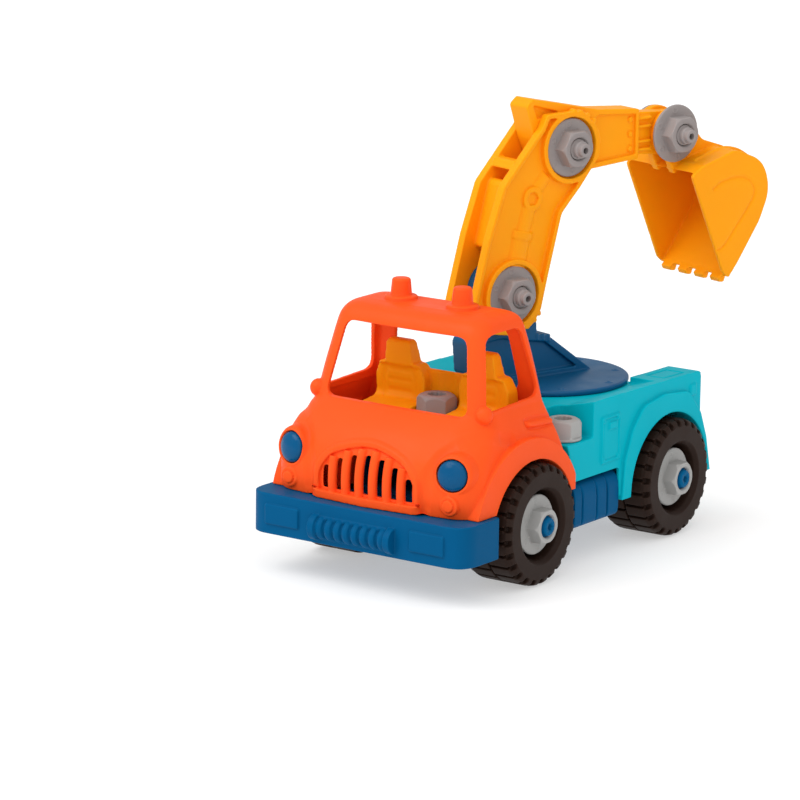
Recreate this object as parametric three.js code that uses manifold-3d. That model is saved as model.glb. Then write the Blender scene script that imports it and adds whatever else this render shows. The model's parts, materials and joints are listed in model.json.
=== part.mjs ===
// Toy excavator truck: a take-apart plastic toy with a slewing digger arm, bolted together with big screws.
// Millimetres, +X forward, +Y the truck's left, +Z up. Shapes are laid out from the middle of the wheelbase;
// the finished group is then moved so that its origin is the bottom centre of the whole toy.
import * as THREE from 'three';
import { mergeVertices } from 'three/addons/utils/BufferGeometryUtils.js';
import Module from 'manifold-3d';

const wasm = await Module();
wasm.setup();

// ---------- driving dimensions ----------
const GAP = 0.3; // play between pieces that touch or turn on each other
const WALL = 3; // wall of the moulded shells

const wheel = {
  radius: 43, width: 44, halfBase: 87.8, outerFace: 93.8,
  mouth: 27.2, dish: 23.5, dishDepth: 16,
};
const axle = { radius: 7.5, tipRadius: 6.5, end: 99.5, tipLength: 3, socket: 2.8 };
const arch = { inner: 47, flare: 87.5 };
const frontArch = { radius: 50.3, x: 89.5, z: 38.7 };
const rearArch = { radius: 51, x: -86, z: 39.5, rear: -141.5 };
const nut = { flange: 21.2, flangeThick: 2.5, across: 25, height: 12.5, bore: axle.radius + GAP };

const bumper = { front: 181.4, rear: 136.8, half: 91.8, low: 29.4, top: 58.4, corner: 17 };
const beam = { rear: -128, half: 42, low: 34, top: 56 };
const tank = { rear: -22.3, front: 33.8, low: 27, top: 61, face: 84.5 };
const pedestal = { rear: 62, front: 124, half: 38, top: 97 };

const deck = { rear: -130, front: 49.5, half: 84.5, top: 110.3, flat: 62, edgeFront: 115.8, edgeRear: 113.8,
  railInner: 57.5, railFront: -76 };
const notch = { rear: 12.5, inner: 55, floor: 90 };
const bedBolt = { x: 29.5, y: 70 };
const seatBolt = { x: 84 };

const slew = { x: -49, disc: 61.5, top: 114.3, angle: 164, hub: 13.5 };
const base = { a: -41.2, z: 178.8 }; // boom pivot on the tower
const elbow = { a: 9.7, z: 280.4 }; // stick pivot on the boom
const wrist = { a: 110.8, z: 281 }; // bucket pivot on the stick
const arm = {
  tongue: 9.7, inner: 10, web: 11.7, rim: 16.5,
  ring: 26, cup: 22.3, farCup: 18.8, shaft: 7.5, disc: 17.5,
};
const bucket = { half: 37, wall: 2.8, earInner: 6, earOuter: 11.7, earRadius: 18 };

// ---------- colours ----------
const material = (color, roughness = 0.45) =>
  new THREE.MeshStandardMaterial({ color, roughness, metalness: 0 });
const BLUE = '#0a5c8c';
const ORANGE = '#ff6430';
const CYAN = '#00b4c4';
const YELLOW = '#ffa31e';
const BLACK = '#2e2522';
const GREY = '#a8a0a0';
const PALE = '#b9b8b5';

// ---------- solids ----------
function solid(geometry) {
  geometry.deleteAttribute('normal');
  geometry.deleteAttribute('uv');
  const merged = mergeVertices(geometry, 1e-3);
  const corners = [];
  for (let i = 0; i < merged.index.count; i += 3) {
    const [a, b, c] = [0, 1, 2].map((k) => merged.index.getX(i + k));
    if (a !== b && b !== c && c !== a) corners.push(a, b, c);
  }
  const vertProperties = new Float32Array(merged.attributes.position.array);
  return new wasm.Manifold(new wasm.Mesh({ numProp: 3, vertProperties, triVerts: new Uint32Array(corners) }));
}

function piece(name, body, color, roughness) {
  const result = body.getMesh();
  const geometry = new THREE.BufferGeometry();
  geometry.setAttribute('position', new THREE.BufferAttribute(new Float32Array(result.vertProperties), 3));
  geometry.setIndex(new THREE.BufferAttribute(new Uint32Array(result.triVerts), 1));
  geometry.computeVertexNormals();
  const mesh = new THREE.Mesh(geometry, material(color, roughness));
  mesh.name = name;
  return mesh;
}

const join = (...bodies) => bodies.reduce((sum, body) => sum.add(body));
const cut = (body, ...tools) => tools.reduce((rest, tool) => rest.subtract(tool), body);

// A closed outline whose corners [x, y, radius] are rounded.
function outline(points) {
  const shape = new THREE.Shape();
  const count = points.length;
  points.forEach(([x, y, radius = 0], i) => {
    const corner = new THREE.Vector2(x, y);
    const towards = (j) => {
      const side = new THREE.Vector2(points[j][0], points[j][1]).sub(corner);
      const inward = side.clone().normalize();
      return { inward, length: side.length() };
    };
    const before = towards((i + count - 1) % count);
    const after = towards((i + 1) % count);
    const half = Math.acos(THREE.MathUtils.clamp(before.inward.dot(after.inward), -1, 1)) / 2;
    const reach = Math.min(radius / Math.tan(half), 0.49 * before.length, 0.49 * after.length);
    const start = corner.clone().addScaledVector(before.inward, reach);
    const end = corner.clone().addScaledVector(after.inward, reach);
    if (i === 0) shape.moveTo(start.x, start.y);
    else shape.lineTo(start.x, start.y);
    if (reach > 0) shape.quadraticCurveTo(x, y, end.x, end.y);
  });
  shape.closePath();
  return shape;
}

// The same corners moved inwards by a distance; the corners run counter-clockwise.
function inset(points, distance) {
  const count = points.length;
  const edge = (i) => {
    const [x, y] = points[i];
    const [nextX, nextY] = points[(i + 1) % count];
    const along = new THREE.Vector2(nextX - x, nextY - y).normalize();
    const origin = new THREE.Vector2(x - along.y * distance, y + along.x * distance);
    return { along, origin };
  };
  return points.map(([, , radius = 0], i) => {
    const first = edge((i + count - 1) % count);
    const second = edge(i);
    const cross = first.along.cross(second.along);
    const between = second.origin.clone().sub(first.origin);
    const run = between.cross(second.along) / cross;
    const corner = first.origin.clone().addScaledVector(first.along, run);
    return [corner.x, corner.y, Math.max(radius - distance, 0)];
  });
}

const mirrorOutline = (points) => points.concat(points.map(([y, z, r]) => [-y, z, r]).reverse());

const extrude = (points, depth, curveSegments = 3) =>
  new THREE.ExtrudeGeometry(outline(points), { depth, bevelEnabled: false, curveSegments });

// Prisms along each axis: the outline is in (y, z), (x, z) or (x, y).
function alongX(points, from, to, curveSegments) {
  const turn = new THREE.Matrix4().makeBasis(
    new THREE.Vector3(0, 1, 0), new THREE.Vector3(0, 0, 1), new THREE.Vector3(1, 0, 0));
  return solid(extrude(points, to - from, curveSegments).applyMatrix4(turn).translate(from, 0, 0));
}
const alongY = (points, from, to, curveSegments) =>
  solid(extrude(points, to - from, curveSegments).rotateX(Math.PI / 2).translate(0, to, 0));
const alongZ = (points, from, to, curveSegments) =>
  solid(extrude(points, to - from, curveSegments).translate(0, 0, from));

const box = (x0, x1, y0, y1, z0, z1) => solid(new THREE.BoxGeometry(x1 - x0, y1 - y0, z1 - z0)
  .translate((x0 + x1) / 2, (y0 + y1) / 2, (z0 + z1) / 2));

// Cylinders: a rod along y (the axles and pivots) and a post along z.
const rod = (radius, x, z, from, to, sides = 20) => solid(
  new THREE.CylinderGeometry(radius, radius, to - from, sides).translate(x, (from + to) / 2, z));
const post = (radius, x, y, from, to, sides = 20) => solid(
  new THREE.CylinderGeometry(radius, radius, to - from, sides)
    .rotateX(Math.PI / 2).translate(x, y, (from + to) / 2));

// A turned body about +Y from [radius, height] pairs that start and end on the axis.
const turned = (profile, sides = 20) =>
  solid(new THREE.LatheGeometry(profile.map(([r, h]) => new THREE.Vector2(r, h)), sides));

// A body through closed level outlines, each an array of [x, y] with one shared count, bottom to top.
function lofted(levels) {
  const count = levels[0].loop.length;
  const positions = [];
  const index = [];
  levels.forEach(({ z, loop }) => loop.forEach(([x, y]) => positions.push(x, y, z)));
  for (let k = 0; k + 1 < levels.length; k += 1) {
    for (let i = 0; i < count; i += 1) {
      const j = (i + 1) % count;
      const [a, b, c, d] = [k * count + i, k * count + j, (k + 1) * count + j, (k + 1) * count + i];
      index.push(a, b, c, a, c, d);
    }
  }
  [0, levels.length - 1].forEach((k) => {
    const centre = positions.length / 3;
    const loop = levels[k].loop;
    positions.push(loop.reduce((s, p) => s + p[0], 0) / count, 0, levels[k].z);
    for (let i = 0; i < count; i += 1) {
      const j = (i + 1) % count;
      if (k === 0) index.push(centre, j, i);
      else index.push(centre, k * count + i, k * count + j);
    }
  });
  const geometry = new THREE.BufferGeometry();
  geometry.setAttribute('position', new THREE.Float32BufferAttribute(positions, 3));
  geometry.setIndex(index);
  return solid(geometry);
}

// One level outline of the cab: rear edge, front edge, half width, corner radii, and the front's bow.
function levelLoop(rear, front, half, frontCorner, rearCorner, bow) {
  const steps = 4;
  const right = [];
  const arc = (cx, cy, radius, start) => {
    for (let i = 0; i <= steps; i += 1) {
      const angle = THREE.MathUtils.degToRad(start + (90 * i) / steps);
      right.push([cx + radius * Math.cos(angle), cy + radius * Math.sin(angle)]);
    }
  };
  arc(rear + rearCorner, -half + rearCorner, rearCorner, 180);
  arc(front - frontCorner, -half + frontCorner, frontCorner, 270);
  right.push([front + bow * 0.75, -half * 0.3]);
  const left = right.map(([x, y]) => [x, -y]).reverse();
  return right.concat([[front + bow, 0]], left);
}

// ---------- fasteners ----------
// A flanged hexagon nut that lies with its flange's back on y = 0 and its open end towards +Y.
function flangedNut() {
  const flange = rod(nut.flange, 0, 0, 0, nut.flangeThick, 24);
  const hexagon = solid(new THREE.CylinderGeometry(nut.across / Math.sqrt(3), nut.across / Math.sqrt(3),
    nut.height, 6).translate(0, nut.height / 2, 0));
  const crown = turned([[0, 0], [16, 0], [16, nut.height - 3], [12.2, nut.height], [0, nut.height]], 12);
  return cut(join(flange, hexagon.intersect(crown)), rod(nut.bore, 0, 0, -1, nut.height + 1));
}

// A big screw with a flanged hexagon head and a star socket, standing with its flange's back on y = 0.
function starScrew(height, across, flange, shankLength) {
  const head = solid(new THREE.CylinderGeometry(across / Math.sqrt(3), across / Math.sqrt(3), height, 6)
    .translate(0, height / 2, 0));
  const crown = turned([[0, 0], [across, 0], [across, height - 5], [across / 2 + 1.6, height - 2],
    [across / 2 - 1.5, height], [0, height]], 12);
  const star = [0, 30].map((turn) => solid(new THREE.CylinderGeometry(6.8, 6.8, 12, 6)
    .rotateY(THREE.MathUtils.degToRad(turn)).translate(0, height, 0)));
  const flangeDisc = rod(flange, 0, 0, 0, 2, 24);
  const shank = turned([[0, -shankLength], [3.4, -shankLength], [4.7, 3 - shankLength],
    [4.7, 1], [0, 1]], 12);
  return join(cut(join(flangeDisc, head.intersect(crown)), ...star), shank);
}

// A pivot bolt along y: its flat head lies against the far ear at +Y and its stepped tip looks towards -Y.
function pivotBolt() {
  const { web, shaft, disc } = arm;
  const far = web + GAP;
  const tip = -31.5;
  return cut(turned([[0, tip], [4.2, tip], [4.4, tip + 3.6], [6, tip + 4.2], [6, tip + 7],
    [shaft, tip + 7.8], [shaft, far], [disc, far], [disc, far + 2.5], [13, far + 2.5],
    [12, far + 8], [10, far + 9.5], [0, far + 9.5]], 20), rod(1.8, 0, 0, tip - 1, tip + 6, 8));
}

// ---------- chassis ----------
function chassis() {
  const { front, rear, half, low, top, corner } = bumper;
  const bar = alongZ([[rear, -half, 4], [front, -half, corner],
    [front, half, corner], [rear, half, 4]], low, top);
  const hollow = alongZ([[rear + WALL, -half + WALL, 2], [front - WALL, -half + WALL, corner - WALL],
    [front - WALL, half - WALL, corner - WALL], [rear + WALL, half - WALL, 2]], low - 1, top - WALL);
  const winch = alongY([[front - 4, 33, 4], [front + 1.6, 33, 5],
    [front + 1.6, 48, 5], [front - 4, 48, 4]], -33, 33);
  const spine = box(beam.rear, rear + 6, -beam.half, beam.half, beam.low, beam.top);
  const channels = [[-wheel.halfBase + 14, wheel.halfBase - 14], [wheel.halfBase + 14, rear - 3],
    [beam.rear + 4, -wheel.halfBase - 14]].map(([from, to]) =>
    box(from, to, -beam.half + 4, beam.half - 4, beam.low - 1, beam.top - 5));
  const seatStand = box(pedestal.rear, pedestal.front, -pedestal.half, pedestal.half,
    beam.top - 1, pedestal.top);
  const standHollow = box(pedestal.rear + 4, pedestal.front + 1, -pedestal.half + 4, pedestal.half - 4,
    beam.top + 3, pedestal.top - 4);
  const screwBoss = post(9, seatBolt.x, 0, beam.top, pedestal.top - 1, 20);
  const tankSection = [[beam.half - 3, tank.low, 0], [tank.face, tank.low, 5], [tank.face, tank.top, 12],
    [beam.half - 3, tank.top, 0]];
  const grooveSection = [[tank.face - 1.5, tank.low - 1, 0], [tank.face + 2, tank.low - 1, 0],
    [tank.face + 2, tank.top + 2, 0], [tank.face - 16, tank.top + 2, 0], [tank.face - 16, tank.top - 1.5, 2],
    [tank.face - 1.5, tank.top - 1.5, 11]];
  let body = join(cut(bar, hollow), winch, spine, cut(seatStand, standHollow), screwBoss);
  for (const side of [1, -1]) {
    const flip = (points) => (side > 0 ? points : points.map(([y, z, r]) => [-y, z, r]).reverse());
    body = body.add(alongX(flip(tankSection), tank.rear, tank.front));
    const [near, far] = side > 0 ? [beam.half + 3, tank.face - 4.5] : [4.5 - tank.face, -beam.half - 3];
    body = body.subtract(box(tank.rear + WALL, tank.front - WALL, near, far, tank.low - 1, tank.top - 5));
    for (const x of [-9, 4.5, 23]) body = body.subtract(alongX(flip(grooveSection), x, x + 1.8, 3));
    body = body.subtract(post(4.7 + GAP, bedBolt.x, side * bedBolt.y, 40, tank.top + 1, 20));
  }
  const axleHoles = [1, -1].map((end) => rod(axle.radius + GAP, end * wheel.halfBase, wheel.radius, -60, 60));
  const seatHole = post(4.7 + GAP, seatBolt.x, 0, 66, pedestal.top + 1, 20);
  const slewHole = post(11, slew.x, 0, beam.low, beam.top + 1, 24);
  return cut(body, ...channels, ...axleHoles, seatHole, slewHole);
}

// ---------- cab ----------
// Levels of the body under the windows: height, rear edge, front edge, half width, front corner, bow.
const hoodLevels = [
  [58.7, 36.5, 163.5, 84.3, 20, 5], [70, 40.3, 164.8, 85, 20, 5], [82, 44, 164.3, 85, 20.5, 5],
  [92, 47.7, 161.7, 84, 21.5, 5], [100, 50.5, 158, 82.4, 23, 4.6], [107, 53, 153.5, 80.3, 24, 4.2],
  [113, 54.8, 148, 78, 24.5, 3.6], [118, 56, 142.5, 75.7, 24, 2.6], [121.5, 56.5, 138, 74.2, 21.5, 1.6],
  [124, 57, 135, 73, 19, 1],
];
// Levels of the window frame and the roof.
const roofLevels = [
  [120, 56, 134.6, 73.5, 13, 1.5], [140, 59.5, 130.5, 70.5, 13, 1.6], [160, 63, 126, 67, 13, 1.8],
  [174, 66, 122.8, 64.3, 13, 2], [180, 67.3, 120.6, 62.6, 13, 2.2], [184.2, 69, 117.4, 60, 13, 2.2],
  [187, 72.5, 112.5, 55.6, 12, 2], [188.5, 77, 105, 48, 11, 1.4],
];
const cabLoft = (levels, offset, drop) => lofted(levels.map(([z, rear, front, half, corner, bow], i) => ({
  z: z - (i === 0 ? -drop : offset * (i === levels.length - 1 ? 1 : 0.35)),
  loop: levelLoop(rear + offset, front - offset, half - offset,
    Math.max(corner - offset, 2), Math.max(6 - offset, 2), bow),
})));

function cab() {
  const shell = join(cabLoft(hoodLevels, 0, 0), cabLoft(roofLevels, 0, 0));
  const room = join(cabLoft(hoodLevels, WALL, -4), cabLoft(roofLevels, WALL, -2));
  const well = (radius, from, to) => rod(radius, frontArch.x, frontArch.z, from, to, 36);
  const aboveFloor = box(36.5, 200, -120, 120, hoodLevels[0][0], 220);
  const flareDisc = (from, to) => rod(65, 96, 40, from, to, 40);
  const flares = join(flareDisc(78, arch.flare), flareDisc(-arch.flare, -78))
    .intersect(box(38, 158, -120, 120, hoodLevels[0][0], 120));
  const lined = frontArch.radius + WALL;
  const liner = join(well(lined, arch.inner - WALL, 82), well(lined, -82, WALL - arch.inner))
    .intersect(aboveFloor);
  const grilleBar = alongZ([[160, -47, 0], [169, -47, 4], [172.5, 0, 60], [169, 47, 4], [160, 47, 0]],
    hoodLevels[0][0], 64.5);
  const beacons = [26, -26].map((y) => solid(new THREE.LatheGeometry(
    [[0, -4], [11, -4], [11, 2.4], [8.2, 3], [7.2, 13], [5, 15.3], [0, 15.3]]
      .map(([r, h]) => new THREE.Vector2(r, h)), 14).rotateX(Math.PI / 2).translate(92, y, 188)));
  const mirrors = [70.4, -70.4].map((y) => solid(new THREE.SphereGeometry(6, 12, 7).translate(128, y, 125)));
  let body = join(cut(join(shell, flares), room), liner, grilleBar, ...mirrors);
  // The beacons' hidden lower ends are trimmed off so that the roof stays one even shell.
  body = cut(join(body, ...beacons), cabLoft(roofLevels, WALL, -2));
  body = cut(body, well(frontArch.radius, arch.inner, 120), well(frontArch.radius, -120, -arch.inner));
  const windshield = alongX(mirrorOutline([[61, 125.5, 8], [51, 175.5, 9]]), 108, 160);
  const rearWindow = alongX(mirrorOutline([[49.5, 128, 7], [41.5, 174, 8]]), 40, 90);
  const sideWindow = alongY([[66.5, 128.5, 7], [126, 126, 6], [115.5, 177, 9], [80.5, 177.5, 9]], -95, 95);
  const slots = [-3, -2, -1, 0, 1, 2, 3].map((k) => {
    const y = k * 11.6;
    const top = 93 - 1.25 * k * k;
    return alongX([[y - 2.4, 66, 0], [y + 2.4, 66, 0], [y + 2.4, top, 2], [y - 2.4, top, 2]], 145, 180, 1);
  });
  const lamps = [1, -1].map((side) => lampTool(side, 11.2, -30, 30));
  return cut(body, windshield, rearWindow, sideWindow, ...slots, ...lamps);
}

// A cylinder through a headlight's place, along the way the light looks.
const lamp = { x: 161.3, y: 68, z: 88.8, turn: 13, rise: 6 };
const placeLamp = (geometry, side) => geometry
  .rotateZ(-Math.PI / 2)
  .rotateY(THREE.MathUtils.degToRad(-lamp.rise))
  .rotateZ(THREE.MathUtils.degToRad(side * lamp.turn))
  .translate(lamp.x, side * lamp.y, lamp.z);
const lampTool = (side, radius, from, to) => solid(placeLamp(
  new THREE.CylinderGeometry(radius, radius, to - from, 20).translate(0, (from + to) / 2, 0), side));
const headlight = (side) => solid(placeLamp(new THREE.LatheGeometry(
  [[0, -7], [10.8, -7], [10.8, 1], [9.4, 3], [5.5, 4.4], [0, 4.8]]
    .map(([r, h]) => new THREE.Vector2(r, h)), 20), side));

function seats() {
  const floor = pedestal.top + GAP;
  const slab = box(62, 120, -40, 40, floor, floor + 5);
  const middle = alongY([[62, floor, 0], [70, floor, 0], [72, 136, 2], [67, 136, 2]], -24, 24);
  let body = join(cut(slab, post(4.7 + GAP, seatBolt.x, 0, floor - 1, floor + 6)), middle);
  const side = [[62, floor, 0], [104, floor, 4], [104, 111, 5], [78, 114, 6], [79.5, 137, 4], [81.5, 138, 0],
    [82, 156.5, 4], [73.5, 156.5, 2], [67.5, 136, 0]];
  const face = [[15, floor, 0], [56, floor, 0], [56.5, 130, 9], [52, 139.5, 6], [47, 140, 0], [45.5, 157, 5],
    [25.5, 157, 5], [24, 140, 0], [19, 139.5, 6], [14.5, 130, 9]];
  for (const hand of [1, -1]) {
    const outlineOfSeat = hand > 0 ? face : face.map(([y, z, r]) => [-y, z, r]).reverse();
    body = join(body, alongX(outlineOfSeat, 60, 106).intersect(alongY(side, -60, 60)));
  }
  return cut(body, post(14.5, seatBolt.x, 0, floor + 5, 150));
}

// ---------- bed ----------
function bed() {
  const { rear, front, half, top, flat, edgeFront, edgeRear, railInner, railFront } = deck;
  const bottom = 38;
  const side = [[35.5, 62, 0], [39.5, 75, 8], [46, 93, 8], [front, edgeFront, 5], [notch.rear, edgeFront, 0],
    [rear, edgeRear, 3], [rear, bottom, 0], [-34, bottom, 0], [-22.8, 40, 3], [-22.8, 62, 3]].reverse();
  const hull = alongY(side, -half, half);
  const fender = [[rearArch.rear, bottom, 0], [-23.2, bottom, 0], [-26, 66, 12], [-36, 88, 16],
    [-50, 102, 14], [-78, 106, 20], [-110, 102.5, 14], [-127, 84, 10], [-135.5, 64, 10]];
  const flares = join(alongY(fender, 78, arch.flare, 5), alongY(fender, -arch.flare, -78, 5));
  const room = join(
    box(rear + WALL, 32, -half + WALL, half - WALL, 30, 86),
    box(railFront + WALL, 36, -notch.inner + WALL, notch.inner - WALL, 80, top - WALL),
    box(railFront + WALL, notch.rear - WALL, -half + WALL, half - WALL, 80, top - WALL),
  );
  const cargo = box(rear - 1, railFront, -railInner, railInner, 97, 130);
  // In front of the rails the deck is flat round the turntable and rises towards both sides.
  const dip = alongX([[flat, top, 0], [half, edgeFront, 0], [half, 130, 0], [-half, 130, 0],
    [-half, edgeFront, 0], [-flat, top, 0]], railFront - 0.01, 60);
  const corners = [1, -1].map((s) => {
    const [low, high] = s > 0 ? [notch.inner, 100] : [-100, -notch.inner];
    return box(notch.rear, 70, low, high, notch.floor, 130);
  });
  const well = (radius, from, to) => rod(radius, rearArch.x, rearArch.z, from, to, 36);
  const lined = rearArch.radius + WALL;
  const liner = join(well(lined, arch.inner - WALL, 82), well(lined, -82, WALL - arch.inner))
    .intersect(box(rearArch.rear, -26, -90, 90, bottom, 120));
  const wells = join(well(rearArch.radius, arch.inner, 120), well(rearArch.radius, -120, -arch.inner));
  const ribs = [26, -18].map((x) => box(x, x + 2.5, -38, 38, beam.top + GAP, top - 1));
  const beamPath = box(-150, 60, -beam.half - GAP, beam.half + GAP, 20, beam.top + GAP);
  const axlePath = box(-wheel.halfBase - 12, 12 - wheel.halfBase, -60, 60, 20, 58);
  const screwHoles = [1, -1].map((s) => post(4.7 + GAP, bedBolt.x, s * bedBolt.y, 60, 95, 20));
  const slewHole = post(slew.hub + GAP, slew.x, 0, 100, 120);
  const shell = cut(join(hull, flares), room);
  return cut(join(cut(join(shell, liner), cargo, dip, ...corners, wells, beamPath, axlePath), ...ribs),
    ...screwHoles, slewHole);
}

// ---------- digger arm, in its own frame: x is the reach, -y the side that the nuts are on ----------
const pivotHole = ({ a, z }) => rod(arm.shaft + GAP, a, z, -50, 50);

function turntable() {
  const disc = post(slew.disc, 0, 0, deck.top + GAP, slew.top, 48);
  const hub = post(slew.hub, 0, 0, 100, deck.top + 1);
  const screwHole = post(5, 0, 0, 99, deck.top, 20);
  const tongue = [[-66, 148, 0], [-14, 146, 0], [base.a + 23.5, base.z, 0], [base.a - 23.5, base.z, 0]];
  const block = [[40, 113, 2], [-4, 144.5, 2], [-46, 152, 2], [-77.5, 150, 6], [-75, 123.5, 4],
    [-57, 113, 0]];
  const panel = inset(block, 5);
  const body = join(alongY(tongue, -arm.tongue, arm.tongue), alongY(block, -arm.tongue, arm.tongue),
    rod(23.5, base.a, base.z, -arm.tongue, arm.tongue, 32));
  const recesses = [alongY(panel, -20, -arm.tongue + 3), alongY(panel, arm.tongue - 3, 20)];
  return cut(join(disc, hub, cut(body, ...recesses)), pivotHole(base), screwHole);
}

const turntableRetainer = () =>
  join(post(18, 0, 0, 96.2, 99.7), post(9, 0, 0, 93.6, 97, 6), post(4.6, 0, 0, 97, 110, 20));

const boomOutline = [[-79.5, 172, 10], [-69, 154, 14], [-41, 149.5, 20], [-24, 155, 14],
  [-16.5, 166, 8], [-11, 188, 6], [1.3, 234, 12], [18, 251, 10], [35.5, 272, 14], [36.5, 290, 16], [20, 306.5, 12], [-13.7, 306.2, 3],
  [-18, 297, 4], [-53.1, 258.5, 10], [-66.1, 221.8, 8]];

function boom() {
  const plate = (from, to) => alongY(boomOutline, from, to);
  const recess = (from, to) => cut(alongY(inset(boomOutline, 3.2), from, to),
    rod(arm.ring, base.a, base.z, from, to, 32), rod(arm.ring, elbow.a, elbow.z, from, to, 32));
  const cup = ({ a, z }, from, to) => rod(to > 0 ? arm.farCup : arm.cup, a, z, from, to, 28);
  let body = join(plate(-arm.rim, -arm.inner), plate(arm.inner, arm.rim));
  body = cut(body, recess(-20, -arm.web), recess(arm.web, 20));
  for (const pivot of [base, elbow]) body = cut(body, cup(pivot, -20, -arm.web), cup(pivot, arm.web, 20));
  const spacer = alongY([[-58, 212, 4], [-20, 205, 4], [-5, 246, 6], [-45, 262, 6]],
    -arm.inner - 1, arm.inner + 1);
  const stop = alongY([[-43, 268, 1], [-32, 272, 1], [-32, 275, 1], [-40, 275, 1]],
    -arm.inner - 1, arm.inner + 1);
  return cut(join(body, spacer, stop), pivotHole(base), pivotHole(elbow));
}

function stick() {
  const beamOutline = [[-22, 317.5, 2], [-28, 312.5, 3], [-20, 288, 8], [-11, 268, 14],
    [6, 258.8, 14], [30, 261.5, 8], [79, 265, 2], [79, 301.5, 2], [40, 304.5, 8]];
  const panel = [[33, 265.5, 2], [76, 268.5, 1.5], [76, 298, 1.5], [40, 300.5, 3], [33, 296, 3]];
  const horn = [[-22, 313.2, 1], [-17.5, 302.5, 1], [4, 305.8, 1]];
  const tongue = [[70, 268, 0], [104, 265.5, 6], [122, 266, 14], [127, 281, 14],
    [122, 296, 14], [104, 297, 6], [70, 299, 0]];
  const { tongue: half } = arm;
  const fork = bucket.earInner - GAP;
  const body = join(alongY(beamOutline, -half, half), alongY(tongue, -fork, fork));
  const recesses = [panel, horn].flatMap((points) =>
    [alongY(points, -20, -half + 3), alongY(points, half - 3, 20)]);
  return cut(body, ...recesses, pivotHole(elbow), pivotHole(wrist));
}

const bucketOutline = [[107.5, 253, 3], [140, 178.5, 2], [146, 173.5, 2], [155, 184.5, 8], [175.5, 213.5, 40],
  [185.2, 236, 40], [177.5, 258, 30], [150, 268.5, 14], [118, 259.5, 4]];
const bucketInside = [[104, 253, 0], [100, 240, 0], [139, 172, 0], [144.8, 177, 0], [152.6, 186.5, 7],
  [172.6, 215.5, 38], [182, 236.5, 38], [175.5, 255.5, 28], [150, 265.3, 13], [119, 256.5, 3]];

function bucketShell() {
  const { half, wall, earInner, earOuter, earRadius } = bucket;
  const shell = cut(alongY(bucketOutline, -half, half, 4), alongY(bucketInside, wall - half, half - wall, 4));
  const ear = [[wrist.a - 12, wrist.z - 2, 0], [112.5, 250, 2], [122, 257, 0], [150, 265, 0], [165, 265.5, 3],
    [140, 273.5, 8], [wrist.a + 10, wrist.z + 12, 6]];
  const ears = [[earInner, earOuter], [-earOuter, -earInner]].map(([from, to]) =>
    join(alongY(ear, from, to), rod(earRadius, wrist.a, wrist.z, from, to)));
  const tooth = [[150, 180, 0], [146, 169.5, 1], [142, 170, 1], [138, 178, 0]];
  const teeth = [-1.5, -0.5, 0.5, 1.5].map((k) => alongY(tooth, k * 17.7 - 5, k * 17.7 + 5));
  const trimmed = teeth.map((body) => cut(body, alongY(bucketInside, -30, 30)));
  return cut(join(shell, ...ears, ...trimmed), pivotHole(wrist));
}

// ---------- wheels ----------
function wheelBody() {
  const { radius, width, mouth, dish, dishDepth } = wheel;
  const outer = width / 2;
  const hub = outer - 8.3;
  const back = outer - dishDepth - WALL;
  const profile = [[0, -outer + 9], [13, -outer + 9], [13, back], [37, back], [38.5, -outer],
    [41.5, -outer + 4], [radius, -outer + 9], [radius, outer - 9], [41.5, outer - 4], [37, outer], [mouth, outer],
    [mouth - 2.4, outer - 3], [dish, outer - dishDepth], [13, outer - dishDepth], [12, hub], [0, hub]];
  return cut(turned(profile, 32), rod(axle.radius + GAP, 0, 0, -30, 30));
}

function axleRod() {
  const { radius, tipRadius, end, tipLength, socket } = axle;
  const step = end - tipLength;
  const bar = turned([[0, -end], [tipRadius, -end], [tipRadius, -step], [radius, -step], [radius, step],
    [tipRadius, step], [tipRadius, end], [0, end]], 20);
  return cut(bar, rod(socket, 0, 0, end - 7, end + 1, 10), rod(socket, 0, 0, -end - 1, 7 - end, 10));
}

// ---------- assembly ----------
const truck = new THREE.Group();
truck.add(piece('chassis', chassis(), BLUE));
truck.add(piece('cab', cab(), ORANGE));
truck.add(piece('seats', seats(), YELLOW));
truck.add(piece('bed', bed(), CYAN));

for (const [sideName, side] of [['left', 1], ['right', -1]]) {
  truck.add(piece(`headlight_${sideName}`, headlight(side), BLUE, 0.3));
  const screw = piece(`bed_screw_${sideName}`, starScrew(15.2, 23, 13.4, 46), PALE);
  screw.rotation.x = Math.PI / 2;
  screw.position.set(bedBolt.x, side * bedBolt.y, notch.floor + GAP);
  truck.add(screw);
}
const seatScrew = piece('seat_screw', starScrew(20, 25, 13.8, 34), GREY);
seatScrew.rotation.x = Math.PI / 2;
seatScrew.position.set(seatBolt.x, 0, pedestal.top + 2 * GAP + 5);
truck.add(seatScrew);

for (const [endName, end] of [['front', 1], ['rear', -1]]) {
  const axlePiece = piece(`${endName}_axle`, axleRod(), BLUE);
  axlePiece.position.set(end * wheel.halfBase, 0, wheel.radius);
  truck.add(axlePiece);
  for (const [sideName, side] of [['left', 1], ['right', -1]]) {
    const corner = new THREE.Group();
    corner.position.set(end * wheel.halfBase, 0, wheel.radius);
    if (side < 0) corner.rotation.x = Math.PI;
    const tyre = piece(`wheel_${endName}_${sideName}`, wheelBody(), BLACK, 0.7);
    tyre.position.y = wheel.outerFace - wheel.width / 2;
    const hubNut = piece(`hub_nut_${endName}_${sideName}`, flangedNut(), PALE);
    hubNut.position.y = wheel.outerFace - 8;
    corner.add(tyre, hubNut);
    truck.add(corner);
  }
}

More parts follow.
